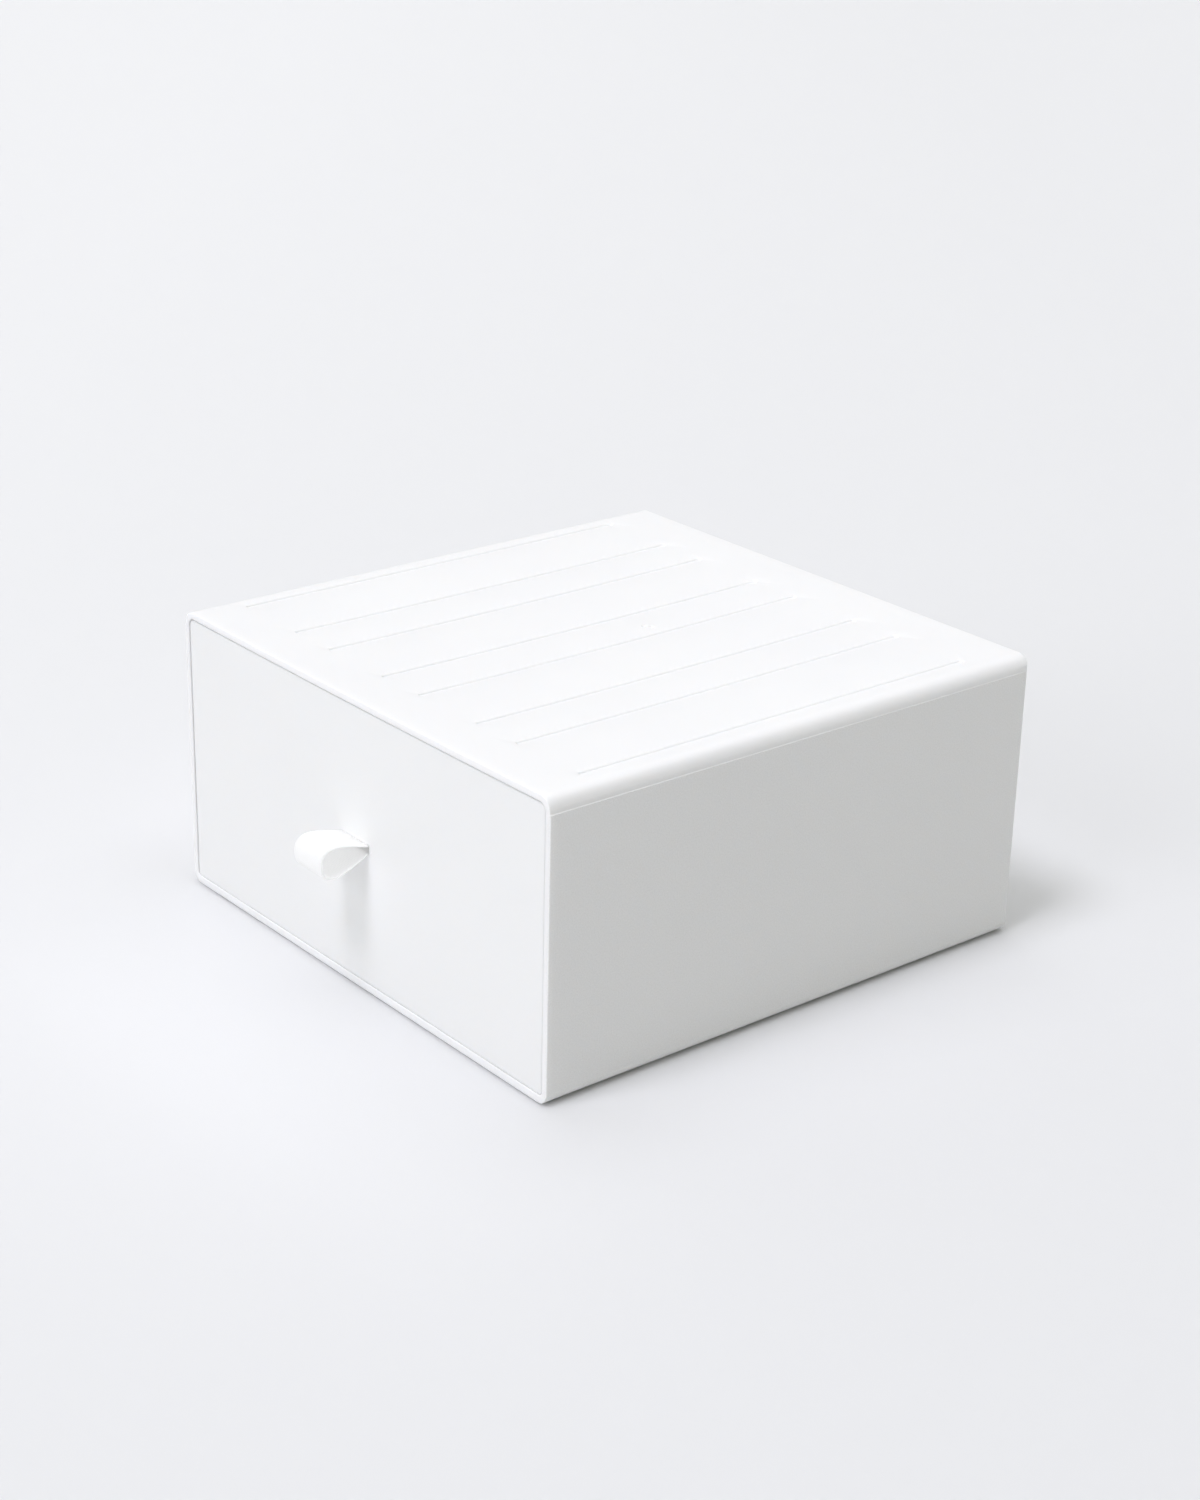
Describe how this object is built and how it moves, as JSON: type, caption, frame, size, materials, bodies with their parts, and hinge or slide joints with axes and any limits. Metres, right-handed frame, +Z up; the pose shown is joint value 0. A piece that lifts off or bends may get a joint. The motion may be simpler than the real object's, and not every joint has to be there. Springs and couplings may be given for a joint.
{
  "type": "stackable drawer box",
  "caption": "Low square desk box with one full-width sliding drawer, a ribbon pull loop, and top grooves that nest the rails of a box stacked on it.",
  "frame": {"origin": "on the plane that the box stands on, under the middle of the casing", "axes": "+Z up, -Y straight out of the drawer's face, +X to the right for someone who faces the drawer"},
  "size_m": [0.2, 0.2177, 0.1005],
  "materials": {
    "casing_plastic": "white moulded plastic, smooth matte top and finely grained sides",
    "drawer_plastic": "smooth matte white moulded plastic",
    "ribbon": "white woven ribbon with a soft sheen",
    "pin_plastic": "plain pale plastic"
  },
  "bodies": {
    "casing": {"casing": "casing_plastic"},
    "drawer": {"drawer": "drawer_plastic", "pull_loop": "ribbon", "loop_pin": "pin_plastic"}
  },
  "joints": [
    {"name": "drawer_slide", "type": "slide", "parent": "casing", "child": "drawer", "axis": [0, -1, 0], "range_m": [0, 0.1495]}
  ]
}
